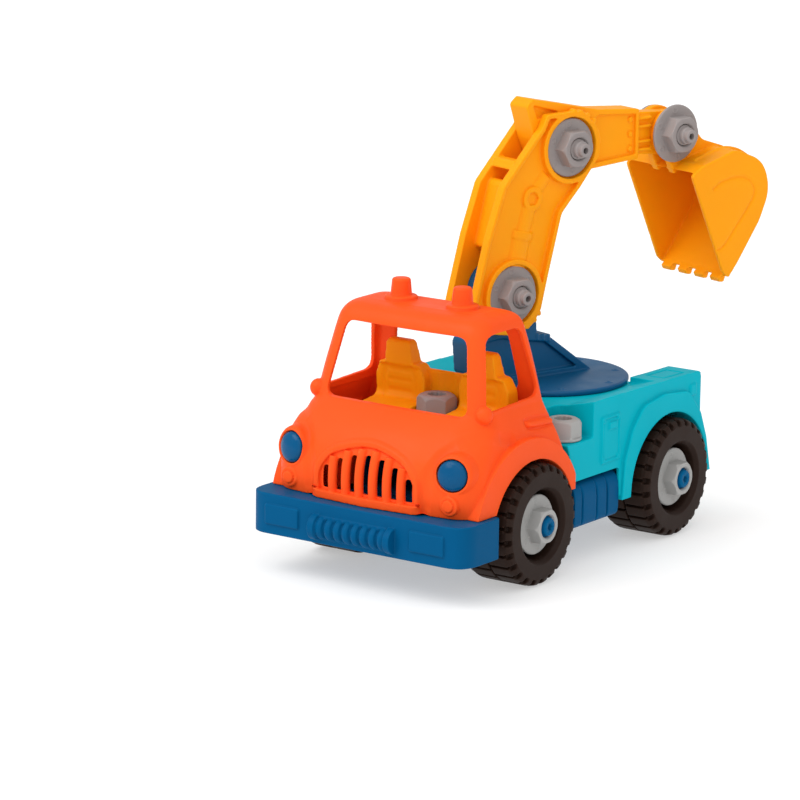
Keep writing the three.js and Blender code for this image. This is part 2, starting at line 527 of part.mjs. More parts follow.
const digger = new THREE.Group();
digger.position.x = slew.x;
digger.rotation.z = THREE.MathUtils.degToRad(slew.angle);
digger.add(piece('turntable', turntable(), BLUE));
digger.add(piece('turntable_retainer', turntableRetainer(), GREY));
digger.add(piece('boom', boom(), YELLOW));
digger.add(piece('stick', stick(), YELLOW));
digger.add(piece('bucket', bucketShell(), YELLOW));
for (const [name, { a, z }] of [['boom', base], ['elbow', elbow], ['bucket', wrist]]) {
  const bolt = piece(`${name}_bolt`, pivotBolt(), GREY);
  bolt.position.set(a, 0, z);
  const armNut = piece(`${name}_nut`, flangedNut(), GREY);
  armNut.rotation.x = Math.PI;
  armNut.position.set(a, -arm.web - GAP, z);
  digger.add(bolt, armNut);
}
truck.add(digger);

// The origin goes to the bottom centre of the whole toy.
truck.updateMatrixWorld(true);
const bounds = new THREE.Box3().setFromObject(truck, true);
const centre = bounds.getCenter(new THREE.Vector3());
truck.position.set(-centre.x, -centre.y, -bounds.min.z);
truck.updateMatrixWorld(true);

export default truck;
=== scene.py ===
import json
import math

import bmesh
import bpy
import numpy as np
from mathutils import Matrix, Vector
from mathutils.bvhtree import BVHTree


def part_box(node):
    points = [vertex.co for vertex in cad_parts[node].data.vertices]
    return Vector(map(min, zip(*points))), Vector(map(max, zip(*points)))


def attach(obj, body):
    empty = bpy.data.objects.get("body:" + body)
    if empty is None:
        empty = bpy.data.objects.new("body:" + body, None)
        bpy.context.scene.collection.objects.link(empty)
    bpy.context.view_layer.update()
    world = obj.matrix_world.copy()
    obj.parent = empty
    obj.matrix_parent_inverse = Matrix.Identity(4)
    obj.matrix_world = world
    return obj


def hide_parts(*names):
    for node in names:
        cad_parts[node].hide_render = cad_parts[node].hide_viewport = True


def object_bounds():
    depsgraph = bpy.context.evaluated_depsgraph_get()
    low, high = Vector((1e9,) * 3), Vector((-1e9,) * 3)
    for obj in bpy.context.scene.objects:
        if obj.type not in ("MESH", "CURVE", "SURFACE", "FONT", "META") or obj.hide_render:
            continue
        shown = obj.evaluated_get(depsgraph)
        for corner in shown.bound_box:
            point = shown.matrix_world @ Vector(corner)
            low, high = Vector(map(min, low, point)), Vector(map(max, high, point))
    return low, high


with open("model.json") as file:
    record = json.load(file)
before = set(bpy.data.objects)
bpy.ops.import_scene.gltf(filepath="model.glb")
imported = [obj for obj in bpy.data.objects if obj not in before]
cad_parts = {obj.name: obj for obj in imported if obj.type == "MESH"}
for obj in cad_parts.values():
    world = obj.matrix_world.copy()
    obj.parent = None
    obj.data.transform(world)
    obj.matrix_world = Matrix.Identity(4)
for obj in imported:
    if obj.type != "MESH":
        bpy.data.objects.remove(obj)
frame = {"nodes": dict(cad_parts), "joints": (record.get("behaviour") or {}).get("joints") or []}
cad_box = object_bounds()
JOINTS = {j["name"]: j for j in frame["joints"]}

# Every piece is drawn in millimetres in one of two frames. TRUCK has x = 0 midway between the axles, +x
# forwards and the floor at z = 0. ARM has x along the arm's reach from the slew axis, and the pivot nuts
# are on its -y side.
ENDS = {"front": 1, "rear": -1}
SIDES = {"left": 1, "right": -1}
WHEELS = [f"wheel_{end}_{side}" for end in ENDS for side in SIDES]
MILLI = Matrix.Scale(0.001, 4)
middle_x = sum(sum(corner.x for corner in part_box(name)) / 2 for name in WHEELS) / len(WHEELS)
TRUCK = Matrix.Translation((middle_x, 0, 0)) @ MILLI
hinge = Vector(JOINTS["stick_pivot"]["axis"])
slew_at = Vector(JOINTS["turntable_slew"]["pos_m"])
ARM = Matrix.Translation((slew_at.x, slew_at.y, 0)) @ Matrix(
    ((-hinge.y, -hinge.x, 0, 0), (hinge.x, -hinge.y, 0, 0), (0, 0, 1, 0), (0, 0, 0, 1))) @ MILLI


def in_arm(joint):
    """A joint's place along the reach and its height, in the ARM frame."""
    at = ARM.inverted() @ Vector(JOINTS[joint]["pos_m"])
    return at.x, at.z


BASE, ELBOW, WRIST = in_arm("boom_pivot"), in_arm("stick_pivot"), in_arm("bucket_pivot")

# ---------- drawing kit: closed bodies as bmesh, in millimetres ----------
ARC = 8  # steps round a corner of an outline
PLANES = {
    "x": lambda u, v, w: (w, u, v),
    "y": lambda u, v, w: (u, w, v),
    "z": lambda u, v, w: (u, v, w),
}


def rounded(points, arc=ARC):
    """An outline's (x, y, radius) corners, rounded; the radius may be left out."""
    loop = []
    for i, (x, y, *radius) in enumerate(points):
        corner = Vector((x, y))
        before = Vector(points[i - 1][:2]) - corner
        after = Vector(points[(i + 1) % len(points)][:2]) - corner
        half = before.angle(after) / 2
        reach = min((radius[0] if radius else 0) / math.tan(half), 0.49 * before.length, 0.49 * after.length)
        if reach < 1e-6:
            loop.append((x, y))
            continue
        start, end = corner + before.normalized() * reach, corner + after.normalized() * reach
        for k in range(arc + 1):
            t = k / arc
            loop.append(tuple(start * (1 - t) ** 2 + corner * 2 * t * (1 - t) + end * t * t))
    return loop


def inset(points, distance):
    """The corners of a counter-clockwise outline moved inwards."""
    edges = []
    for i, (x, y, *_) in enumerate(points):
        nx, ny, *_ = points[(i + 1) % len(points)]
        along = Vector((nx - x, ny - y)).normalized()
        edges.append((Vector((x - along.y * distance, y + along.x * distance)), along))
    moved = []
    for i, (_, _, *radius) in enumerate(points):
        (first, a), (second, b) = edges[i - 1], edges[i]
        run = (second - first).cross(b) / a.cross(b)
        at = first + a * run
        moved.append((at.x, at.y, max((radius[0] if radius else 0) - distance, 0)))
    return moved


def mirrored(points):
    return list(points) + [(-p[0], *p[1:]) for p in reversed(points)]


def closed(rings):
    """A body through rings of points that share one count."""
    bm = bmesh.new()
    rows = [[bm.verts.new(p) for p in loop] for loop in rings]
    count = len(rows[0])
    for lower, upper in zip(rows, rows[1:]):
        for i in range(count):
            bm.faces.new((lower[i - 1], lower[i], upper[i], upper[i - 1]))
    bm.faces.new(rows[0])
    bm.faces.new(rows[-1])
    bmesh.ops.recalc_face_normals(bm, faces=bm.faces)
    return bm


def prism(plane, points, low, high, arc=ARC):
    """An outline in the plane across an axis, drawn out along that axis from low to high."""
    loop = rounded(points, arc)
    return closed([[PLANES[plane](x, y, w) for x, y in loop] for w in (low, high)])


def box(x0, x1, y0, y1, z0, z1):
    return prism("z", [(x0, y0), (x1, y0), (x1, y1), (x0, y1)], z0, z1)


def turned(profile, axis="y", at=(0, 0, 0), sides=64):
    """A body turned about an axis through a point, from (radius, height) pairs from axis to axis."""
    bm = bmesh.new()
    rows = []
    for radius, height in profile:
        steps = sides if radius > 1e-6 else 1
        row = []
        for k in range(steps):
            angle = math.tau * k / sides
            point = PLANES[axis](radius * math.cos(angle), radius * math.sin(angle), height)
            row.append(bm.verts.new(Vector(point) + Vector(at)))
        rows.append(row)
    for a, b in zip(rows, rows[1:]):
        for k in range(sides):
            corners = [a[k % len(a)], a[(k + 1) % len(a)], b[(k + 1) % len(b)], b[k % len(b)]]
            corners = list(dict.fromkeys(corners))
            if len(corners) > 2:
                bm.faces.new(corners)
    bmesh.ops.recalc_face_normals(bm, faces=bm.faces)
    return bm


def rod(radius, x, z, low, high, sides=64):
    return turned([(0, low), (radius, low), (radius, high), (0, high)], "y", (x, 0, z), sides)


def post(radius, x, y, low, high, sides=64):
    return turned([(0, low), (radius, low), (radius, high), (0, high)], "z", (x, y, 0), sides)


def hexagon(across, low, high, axis="y"):
    radius = across / math.sqrt(3)
    return turned([(0, low), (radius, low), (radius, high), (0, high)], axis, sides=6)


def ring(radius, thick, axis, at, sides=28, around_bar=8):
    """A torus about an axis."""
    bm = bmesh.new()
    rows = []
    for k in range(sides):
        angle = math.tau * k / sides
        row = []
        for m in range(around_bar):
            turn = math.tau * m / around_bar
            r = radius + thick * math.cos(turn)
            point = PLANES[axis](r * math.cos(angle), r * math.sin(angle), thick * math.sin(turn))
            row.append(bm.verts.new(Vector(point) + Vector(at)))
        rows.append(row)
    for k in range(sides):
        for m in range(around_bar):
            bm.faces.new((rows[k - 1][m - 1], rows[k - 1][m], rows[k][m], rows[k][m - 1]))
    bmesh.ops.recalc_face_normals(bm, faces=bm.faces)
    return bm


def ball(at, radius, scale=(1, 1, 1)):
    bm = bmesh.new()
    bmesh.ops.create_icosphere(bm, subdivisions=4, radius=radius)
    return placed(bm, Matrix.Translation(at) @ Matrix.Diagonal((*scale, 1)))


def tube(path, radius, sides=14):
    """A round bar along a path, with flat ends."""
    points = [Vector(p) for p in path]
    rings = []
    side = None
    for i, point in enumerate(points):
        along = (points[min(i + 1, len(points) - 1)] - points[max(i - 1, 0)]).normalized()
        side = (side - along * side.dot(along)).normalized() if side else along.orthogonal().normalized()
        other = along.cross(side)
        rings.append([point + (side * math.cos(t) + other * math.sin(t)) * radius
                      for t in (math.tau * k / sides for k in range(sides))])
    return closed(rings)


def placed(bm, *matrices):
    for matrix in matrices:
        bmesh.ops.transform(bm, matrix=matrix, verts=bm.verts)
        if matrix.determinant() < 0:
            bmesh.ops.reverse_faces(bm, faces=bm.faces)
    return bm


def flipped(bm):
    """The same body on the other side of the y = 0 plane."""
    return placed(bm.copy(), Matrix.Diagonal((1, -1, 1, 1)))


def pair(bm):
    return [bm, flipped(bm)]


def as_object(bm, name="working"):
    mesh = bpy.data.meshes.new(name)
    bm.to_mesh(mesh)
    obj = bpy.data.objects.new(name, mesh)
    bpy.context.scene.collection.objects.link(obj)
    return obj


def evaluated(obj):
    """The mesh of a working object with its modifiers applied; the object is removed."""
    graph = bpy.context.evaluated_depsgraph_get()
    mesh = bpy.data.meshes.new_from_object(obj.evaluated_get(graph))
    bpy.data.objects.remove(obj)
    return mesh


def combined(operation, first, others):
    """One boolean of a body with each of the others in turn."""
    obj = as_object(first)
    tools = [as_object(other) for other in others]
    for tool in tools:
        modifier = obj.modifiers.new("boolean", "BOOLEAN")
        modifier.operation = operation
        modifier.solver = "MANIFOLD"
        modifier.object = tool
    mesh = evaluated(obj)
    for tool in tools:
        bpy.data.objects.remove(tool)
    bm = bmesh.new()
    bm.from_mesh(mesh)
    bpy.data.meshes.remove(mesh)
    return bm


def join(first, *others):
    return combined("UNION", first, others)


def cut(first, *others):
    return combined("DIFFERENCE", first, others)


def common(first, *others):
    return combined("INTERSECT", first, others)


# ---------- moulding: one skin with soft edges, and low relief pressed into it ----------
def moulded(bm, voxel, smooth=4):
    """A moulded skin round a body: voxels blend what overlaps, and smoothing rounds every edge a little."""
    obj = as_object(bm)
    skin = obj.modifiers.new("skin", "REMESH")
    skin.mode = "VOXEL"
    skin.voxel_size = voxel * 1
    soften = obj.modifiers.new("soften", "SMOOTH")
    soften.factor = 0.5
    soften.iterations = smooth
    return evaluated(obj)


def spline(points, steps=8):
    """A smooth curve through the points."""
    p = np.array(points, float)
    p = np.vstack([2 * p[0] - p[1], p, 2 * p[-1] - p[-2]])
    curve = []
    for i in range(1, len(p) - 2):
        for t in np.linspace(0, 1, steps, endpoint=False):
            curve.append(0.5 * (2 * p[i] + (p[i + 1] - p[i - 1]) * t
                                + (2 * p[i - 1] - 5 * p[i] + 4 * p[i + 1] - p[i + 2]) * t * t
                                + (3 * p[i] - p[i - 1] - 3 * p[i + 1] + p[i + 2]) * t ** 3))
    return np.array([*curve, p[-2]])


def press(mesh, path, width, height, towards=None):
    """Raises the skin along a path by height, or sinks it where height is negative, fading out at width.

    The path is laid on the nearest skin first. With towards, only skin that looks that way moves."""
    count = len(mesh.vertices)
    places = np.empty(count * 3, np.float32)
    mesh.vertices.foreach_get("co", places)
    places = places.reshape(-1, 3).astype(float)
    normals = np.empty(count * 3, np.float32)
    mesh.vertices.foreach_get("normal", normals)
    normals = normals.reshape(-1, 3).astype(float)
    skin = BVHTree.FromPolygons([v.co for v in mesh.vertices], [f.vertices for f in mesh.polygons])
    line = np.array([skin.find_nearest(Vector(p))[0] for p in np.array(path, float)])
    near = np.flatnonzero(((places > line.min(0) - width) & (places < line.max(0) + width)).all(1))
    here = places[near]
    apart = np.full(len(near), 1e9)
    for start, end in zip(line, line[1:]):
        run = end - start
        t = np.clip((here - start) @ run / max(run @ run, 1e-12), 0, 1)
        apart = np.minimum(apart, np.linalg.norm(here - start - t[:, None] * run, axis=1))
    amount = np.clip(1 - (apart / width) ** 2, 0, 1) ** 2 * height
    if towards is not None:
        amount *= np.clip(normals[near] @ np.array(towards, float) * 2.5, 0, 1)
    places[near] += normals[near] * amount[:, None]
    mesh.vertices.foreach_set("co", places.astype(np.float32).ravel())
    mesh.update()


def both_sides(path):
    return [path, [(x, -y, z) for x, y, z in path]]


MAX_FACES = 190_000  # triangles that one piece may have before it is thinned


def piece(name, mesh, matrix, body, material, slot, *nodes):
    """A finished piece from a mesh in millimetres: placed in the part's frame, shaded, riding on its body."""
    if isinstance(mesh, bmesh.types.BMesh):
        bm, mesh = mesh, bpy.data.meshes.new(name)
        bm.to_mesh(mesh)
    mesh.name = name
    obj = bpy.data.objects.new(name, mesh)
    bpy.context.scene.collection.objects.link(obj)
    faces = sum(len(f.vertices) - 2 for f in mesh.polygons)
    if faces > MAX_FACES:
        thin = obj.modifiers.new("thin", "DECIMATE")
        thin.ratio = MAX_FACES / faces
        mesh = evaluated(obj)
        mesh.name = name
        obj = bpy.data.objects.new(name, mesh)
        bpy.context.scene.collection.objects.link(obj)
    mesh.transform(matrix)
    mesh.materials.clear()
    mesh.materials.append(material)
    mesh.shade_smooth()
    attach(obj, body)
    if nodes:
        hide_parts(*nodes)


# ---------- materials ----------
def plastic(name, colour, deep, edge_highlight, rough=0.42, grain=0.35, glow=0.0, mottle=0.03, sheen=0.10):
    """Moulded plastic: painted shade darkens it in hollows and a painted highlight pales its edges, with fine
    grain and a soft sheen.
    """
    material = bpy.data.materials.new(name)
    material.use_nodes = True
    nodes, links = material.node_tree.nodes, material.node_tree.links
    shader = nodes["Principled BSDF"]
    where = nodes.new("ShaderNodeTexCoord").outputs["Object"]

    def noise_at(scale, detail=3.0):
        node = nodes.new("ShaderNodeTexNoise")
        node.inputs["Scale"].default_value = scale
        node.inputs["Detail"].default_value = detail
        links.new(where, node.inputs["Vector"])
        return node.outputs["Fac"]

    def spread(value, low, high, to_low, to_high):
        node = nodes.new("ShaderNodeMapRange")
        for key, number in zip(("From Min", "From Max", "To Min", "To Max"), (low, high, to_low, to_high)):
            node.inputs[key].default_value = number
        links.new(value, node.inputs["Value"])
        return node.outputs["Result"]

    def mixed(share, first, second, blend="MIX"):
        node = nodes.new("ShaderNodeMix")
        node.data_type, node.blend_type = "RGBA", blend
        for socket, value in ((node.inputs[0], share), (node.inputs[6], first), (node.inputs[7], second)):
            if isinstance(value, bpy.types.NodeSocket):
                links.new(value, socket)
            else:
                socket.default_value = value if isinstance(value, float) else (*value, 1)
        return node.outputs[2]

    bend = nodes.new("ShaderNodeNewGeometry").outputs["Pointiness"]
    # Painted shade: where pointiness finds a hollow, the colour turns to the deep shade colour. Painted
    # highlight: on edges it turns to the paler highlight colour.
    hollow = spread(bend, 0.40, 0.495, 1.0, 0.0)
    edge = spread(bend, 0.515, 0.60, 0.0, 0.55)
    tint = mixed(hollow, colour, deep)
    tint = mixed(edge, tint, edge_highlight)
    cloud = spread(noise_at(22.0), 0.3, 0.7, 1 - mottle, 1 + mottle)
    links.new(mixed(1.0, tint, cloud, "MULTIPLY"), shader.inputs["Base Color"])
    links.new(spread(noise_at(60.0, 4.0), 0.3, 0.7, rough - 0.05, rough + 0.06), shader.inputs["Roughness"])
    shader.inputs["IOR"].default_value = 1.47
    shader.inputs["Specular IOR Level"].default_value = sheen
    if glow:
        shader.inputs["Subsurface Weight"].default_value = glow
        shader.inputs["Subsurface Radius"].default_value = (1.0, 0.45, 0.15)
        shader.inputs["Subsurface Scale"].default_value = 0.003
    bump = nodes.new("ShaderNodeBump")
    bump.inputs["Strength"].default_value = grain
    bump.inputs["Distance"].default_value = 0.00006
    links.new(noise_at(1500.0, 2.0), bump.inputs["Height"])
    links.new(bump.outputs["Normal"], shader.inputs["Normal"])
    return material


# Colours are linear: the plain face, then the painted shade of its hollows and the painted highlight of its
# edges.
ORANGE = plastic(
    "orange plastic", (0.95, 0.092, 0.012), (0.76, 0.038, 0.004), (1.0, 0.15, 0.03), glow=0.05)
DARK_BLUE = (0.0003, 0.085, 0.215), (0.0002, 0.042, 0.115), (0.002, 0.135, 0.30)
BLUE = plastic("blue plastic", *DARK_BLUE, grain=0.5, sheen=0.04)
CYAN = plastic(
    "cyan plastic", (0.0003, 0.430, 0.530), (0.0002, 0.290, 0.380), (0.003, 0.52, 0.62), sheen=0.04)
YELLOW = plastic(
    "yellow plastic", (0.98, 0.350, 0.003), (0.94, 0.230, 0.002), (1.0, 0.45, 0.012), glow=0.10)
SEAT = plastic(
    "yellow seat plastic", (0.98, 0.350, 0.004), (0.92, 0.220, 0.002), (1.0, 0.43, 0.015), 0.45, glow=0.10)
TYRE = plastic(
    "dark brown plastic", (0.0225, 0.0115, 0.0080), (0.008, 0.004, 0.003), (0.05, 0.029, 0.022), 0.45, 0.6)
DISC = plastic("blue turntable plastic", *DARK_BLUE, grain=0.5, sheen=0.25)
LENS = plastic(
    "blue lens plastic", (0.0003, 0.080, 0.205), (0.0002, 0.045, 0.12), (0.003, 0.14, 0.32), 0.22, 0.1,
    sheen=0.15)
GREY = plastic("warm grey plastic", (0.31, 0.275, 0.267), (0.17, 0.14, 0.135), (0.46, 0.41, 0.40), 0.40)
PALE = plastic("pale grey plastic", (0.38, 0.376, 0.366), (0.20, 0.197, 0.193), (0.52, 0.515, 0.50), 0.40)

# ---------- sizes shared by several pieces, as the CAD has them ----------
GAP, WALL = 0.3, 3.0
HALF_BASE, AXLE_Z, SHAFT = 87.8, 43.0, 7.5
ARCH_INNER, FLARE = 47.0, 87.5
FRONT_ARCH, REAR_ARCH = (50.3, 89.5, 38.7), (51.0, -86.0, 39.5)  # radius, x and z of the wheel arches
PEDESTAL_TOP, BEAM_HALF, BEAM_TOP = 97.0, 42.0, 56.0
BOLT_X, BOLT_Y, SEAT_BOLT_X, SCREW_HOLE = 29.5, 70.0, 84.0, 5
SLEW_X, HUB = -49.0, 13.5  # the turntable's axis and the radius of its hub
WHEEL_Y, HUB_NUT_Y = 71.8, 85.8  # from the middle of the truck
TONGUE, PLATE_IN, WEB, RIM = 9.7, 10.0, 11.7, 16.5


def merged(*bodies):
    """Bodies side by side in one mesh, for moulded() to blend."""
    bm = bmesh.new()
    for body in bodies:
        mesh = bpy.data.meshes.new("part")
        body.to_mesh(mesh)
        bm.from_mesh(mesh)
        bpy.data.meshes.remove(mesh)
    return bm


def around(count, start=0.0):
    return [start + math.tau * k / count for k in range(count)]


def circle(x, y, radius, count):
    return [(x + radius * math.cos(t), y + radius * math.sin(t)) for t in around(count)]


# ---------- fasteners ----------
def flanged_nut(across=25.0):
    """A nut: its flange's back is on y = 0, its chamfered hexagon faces +y, its flange has ring marks."""
    thick, height, marks_at = 2.5, 12.5, 17.3
    flange = turned([(0, 0), (20.6, 0), (21.2, 0.7), (21.2, 1.8), (20.6, thick), (0, thick)])
    crown = turned([(0, 0), (across * 0.595, 0), (across * 0.595, 9.6), (across * 0.5, height), (0, height)])
    bore = turned([(0, -1), (7.8, -1), (7.8, 11), (8.7, 12.2), (8.7, 14), (0, 14)])
    body = cut(join(flange, common(hexagon(across, 0, height), crown)), bore)
    marks = [ring(1.9, 0.42, "y", (marks_at * math.cos(a), thick, marks_at * math.sin(a)), 16)
             for a in around(6, 0.4)]
    return moulded(merged(body, *marks), 0.45, 2)


def star_screw(height, across, flange, shank):
    """A screw standing with its flange's back on z = 0, with a star socket in its chamfered head."""
    disc = turned([(0, 0), (flange - 0.5, 0), (flange, 0.5), (flange, 1.6), (flange - 0.4, 2), (0, 2)], "z")
    crown = turned([(0, 0), (across, 0), (across / 2 + 2.4, height - 4), (across / 2 + 0.4, height - 1.2),
                    (across / 2 - 1.8, height), (0, height)], "z")
    head = common(hexagon(across, 0, height, "z"), crown)
    star_across, deep = 11.8, 6
    star = [placed(hexagon(star_across, height - deep, height + deep, "z"), Matrix.Rotation(turn, 4, "Z"))
            for turn in (0, math.pi / 6)]
    stem = turned([(0, -shank), (3.4, -shank), (4.7, 3 - shank), (4.7, 1), (0, 1)], "z", sides=32)
    return moulded(merged(cut(join(disc, head), *star), stem), 0.5, 2)


def pivot_bolt():
    """A bolt along y: a flat head at +y and a stepped, drilled tip at -y."""
    tip, far = -31.5, WEB + GAP
    stepped_tip = [(0, 0), (4.4, 0), (4.9, 0.5), (4.9, 3.6), (5.6, 3.8), (6.2, 4.3), (6.2, 7.6), (7, 7.8),
                   (SHAFT, 8.3)]
    head = [(SHAFT, 0), (17, 0), (17.5, 0.6), (17.5, 1.9), (17, 2.5), (13, 2.5), (12, 8), (10, 9.5), (0, 9.5)]
    profile = [(r, tip + y) for r, y in stepped_tip] + [(r, far + y) for r, y in head]
    return moulded(cut(turned(profile), rod(2.3, 0, 0, tip - 1, tip + 6, 32)), 0.4, 1)


def axle_rod():
    """An axle along y with a stepped, drilled tip at each end."""
    end, step = 99.5, 96.5
    half = [(SHAFT, step - 0.6), (6.9, step), (6.4, step + 0.2), (6.4, end - 0.9), (5.6, end), (0, end)]
    profile = [(r, -h) for r, h in reversed(half)] + half
    sockets = [rod(2.8, 0, 0, *span, 6) for span in ((end - 7, end + 1), (-end - 1, 7 - end))]
    return cut(turned(profile, sides=48), *sockets)


nut_mesh, bolt_mesh = flanged_nut(), pivot_bolt()
TURNED_OVER = Matrix.Rotation(math.pi, 4, "X")
for name, (a, z), body in (("boom", BASE, "turntable"), ("elbow", ELBOW, "boom"), ("bucket", WRIST, "stick")):
    here = ARM @ Matrix.Translation((a, 0, z))
    nut_at = here @ Matrix.Translation((0, -WEB - GAP, 0)) @ TURNED_OVER
    piece(f"{name}_pivot_nut", nut_mesh.copy(), nut_at, body, GREY, "grey_fastener", f"{name}_nut")
    piece(f"{name}_pivot_bolt", bolt_mesh.copy(), here, body, GREY, "grey_fastener", f"{name}_bolt")

seat_at = TRUCK @ Matrix.Translation((SEAT_BOLT_X, 0, PEDESTAL_TOP + 2 * GAP + 5))
piece("seat_screw_star", star_screw(20, 25, 13.8, 34), seat_at, "truck", GREY, "grey_fastener", "seat_screw")
bed_screw_mesh = star_screw(15.2, 23, 13.4, 46)
for side, sign in SIDES.items():
    at = TRUCK @ Matrix.Translation((BOLT_X, sign * BOLT_Y, 90 + GAP))
    piece(f"bed_screw_star_{side}", bed_screw_mesh.copy(), at, "truck", PALE, "pale_fastener",
          f"bed_screw_{side}")


# ---------- wheels ----------
def wheel_mesh(lugs=26):
    """A wheel about y with its dish towards +y, and a tread of two staggered rows of pads."""
    half, hub, back = 22.0, 13.7, 3.0
    body = turned([(0, 9 - half), (13, 9 - half), (13, back), (36.5, back), (37.5, -half), (39.6, 0.6 - half),
                   (42, 3 - half), (43, 6 - half), (43, half - 5.6), (42.3, half - 2.6), (40.6, half - 0.8),
                   (38, half), (27.6, half), (27, half - 0.5), (25, half - 3), (23.5, half - 16),
                   (13, half - 16), (12, hub), (0, hub)], sides=96)
    grooves = []
    for low, high, turn in ((2.2, half - 3.4, 0.0), (3.4 - half, 0.6, math.pi / lugs)):
        slot = prism("y", [(-1.1, 40.0), (1.1, 40.0), (1.2, 46), (-1.2, 46)], low, high)
        ends = prism("y", [(-2.2, 37.9, 1.8), (2.2, 37.9, 1.8), (2.4, 46), (-2.4, 46)],
                     *sorted((math.copysign(half - 4.6, low + high), math.copysign(half + 2, low + high))))
        for a in around(lugs, turn):
            grooves += [placed(part.copy(), Matrix.Rotation(a, 4, "Y")) for part in (slot, ends)]
    seam = cut(turned([(0, 0.7), (46, 0.7), (46, 2.3), (0, 2.3)], sides=96), rod(40.3, 0, 0, -5, 8, 96))
    bore = rod(SHAFT + GAP, 0, 0, -30, 30)
    return moulded(cut(body, seam, bore, *grooves), 0.5, 1)


tyre_mesh, hub_nut_mesh = wheel_mesh(), flanged_nut(23.0)
for end, way in ENDS.items():
    for side, sign in SIDES.items():
        corner = TRUCK @ Matrix.Translation((way * HALF_BASE, 0, AXLE_Z))
        if sign < 0:
            corner = corner @ TURNED_OVER
        name = f"{end}_{side}"
        piece(f"tyre_{name}", tyre_mesh.copy(), corner @ Matrix.Translation((0, WHEEL_Y, 0)),
              f"wheel_{name}", TYRE, "black_wheel", f"wheel_{name}")
        piece(f"hub_cap_nut_{name}", hub_nut_mesh.copy(), corner @ Matrix.Translation((0, HUB_NUT_Y, 0)),
              "truck", PALE, "pale_fastener", f"hub_nut_{name}")
    at = TRUCK @ Matrix.Translation((way * HALF_BASE, 0, AXLE_Z))
    piece(f"{end}_axle_rod", axle_rod(), at, "truck", BLUE, "blue_chassis", f"{end}_axle")


# ---------- chassis ----------
def chassis_mesh():
    front, rear, half, low, top, corner = 181.4, 136.8, 91.8, 29.4, 58.4, 17
    bar = prism("z", [(rear, -half, 4), (front, -half, corner), (front, half, corner), (rear, half, 4)],
                low, top, 14)
    inner_half, inner_corner = half - WALL, corner - WALL
    hollow = prism("z", [(rear + WALL, -inner_half, 2), (front - WALL, -inner_half, inner_corner),
                         (front - WALL, inner_half, inner_corner), (rear + WALL, inner_half, 2)],
                   low - 1, top - WALL)
    spine = box(-128, rear + 6, -BEAM_HALF, BEAM_HALF, 34, BEAM_TOP)
    spans = (14 - HALF_BASE, HALF_BASE - 14), (HALF_BASE + 14, rear - 3), (-124, -HALF_BASE - 14)
    channels = [box(*span, 4 - BEAM_HALF, BEAM_HALF - 4, 33, BEAM_TOP - 5) for span in spans]
    stand = cut(box(62, 124, -38, 38, BEAM_TOP - 1, PEDESTAL_TOP),
                box(66, 125, -34, 34, BEAM_TOP + 3, PEDESTAL_TOP - 4))
    boss = post(9, SEAT_BOLT_X, 0, BEAM_TOP, PEDESTAL_TOP - 1)
    tank = prism("x", [(BEAM_HALF - 3, 27), (84.5, 27, 6), (84.5, 61, 13), (BEAM_HALF - 3, 61)], -22.3, 33.8)
    tank = cut(tank, box(-19.3, 30.8, BEAM_HALF + 3, 80, 26, BEAM_TOP))
    groove = [(82.6, 26), (87, 26), (87, 63), (68, 63), (68, 59.2, 2), (82.6, 59.2, 12)]
    tank = cut(tank, *[prism("x", groove, x, x + 1.9) for x in (-9, 4.5, 23)])
    body = join(cut(bar, hollow), spine, stand, boss, *pair(tank))
    holes = [rod(SHAFT + GAP, end * HALF_BASE, AXLE_Z, -60, 60) for end in (1, -1)]
    holes += [post(SCREW_HOLE, SEAT_BOLT_X, 0, 66, PEDESTAL_TOP + 1), post(11, SLEW_X, 0, 33, BEAM_TOP + 1)]
    holes += [post(SCREW_HOLE, BOLT_X, sign * BOLT_Y, 40, 62) for sign in (1, -1)]
    body = cut(body, *channels, *holes)
    # The front carries a ribbed roll between end caps, and a raised plate to each side of it.
    roll_x, roll_z = front - 1.2, 41.3
    roll = [tube([(roll_x, -29, roll_z), (roll_x, 29, roll_z)], 5.6)]
    roll += [ring(5.4, 3.1, "y", (roll_x, (k - 3.5) * 7.45, roll_z), 32) for k in range(8)]
    roll += pair(tube([(roll_x, 29.5, roll_z), (roll_x, 34.5, roll_z)], 9.4, 28))
    backing = prism("y", [(front - 2, 31.5, 2), (front + 0.9, 33, 2), (front + 0.9, 49.6, 2),
                          (front - 2, 51, 2)], -33, 33)
    plates = pair(prism("x", [(47.2, 37, 1), (75.6, 37, 1), (75.6, 51.2, 1), (47.2, 51.2, 1)],
                        front - 1, front + 1.6))
    return moulded(merged(body, *roll, backing, *plates), 0.65, 1)


piece("chassis_frame", chassis_mesh(), TRUCK, "truck", BLUE, "blue_chassis", "chassis")

# ---------- cab ----------
# Levels of the body under the windows, then of the window frame and roof:
# height, rear edge, front edge, half width, front corner, bow of the front.
HOOD = [
    (58.7, 36.5, 163.5, 84.3, 20, 5), (70, 40.3, 164.8, 85, 20, 5), (82, 44, 164.3, 85, 20.5, 5),
    (92, 47.7, 161.7, 84, 21.5, 5), (100, 50.5, 158, 82.4, 23, 4.6), (107, 53, 153.5, 80.3, 24, 4.2),
    (113, 54.8, 148, 78, 24.5, 3.6), (118, 56, 142.5, 75.7, 24, 2.6), (121.5, 56.5, 138, 74.2, 21.5, 1.6),
    (124, 57, 135, 73, 19, 1)]
ROOF = [
    (120, 56, 134.6, 73.5, 13, 1.5), (140, 59.5, 130.5, 70.5, 13, 1.6), (160, 63, 126, 67, 13, 1.8),
    (174, 66, 122.8, 64.3, 13, 2), (180, 67.3, 120.6, 62.6, 13, 2.2), (184.2, 69, 117.4, 60, 13, 2.2),
    (187, 72.5, 112.5, 55.6, 12, 2), (188.5, 77, 105, 48, 11, 1.4)]


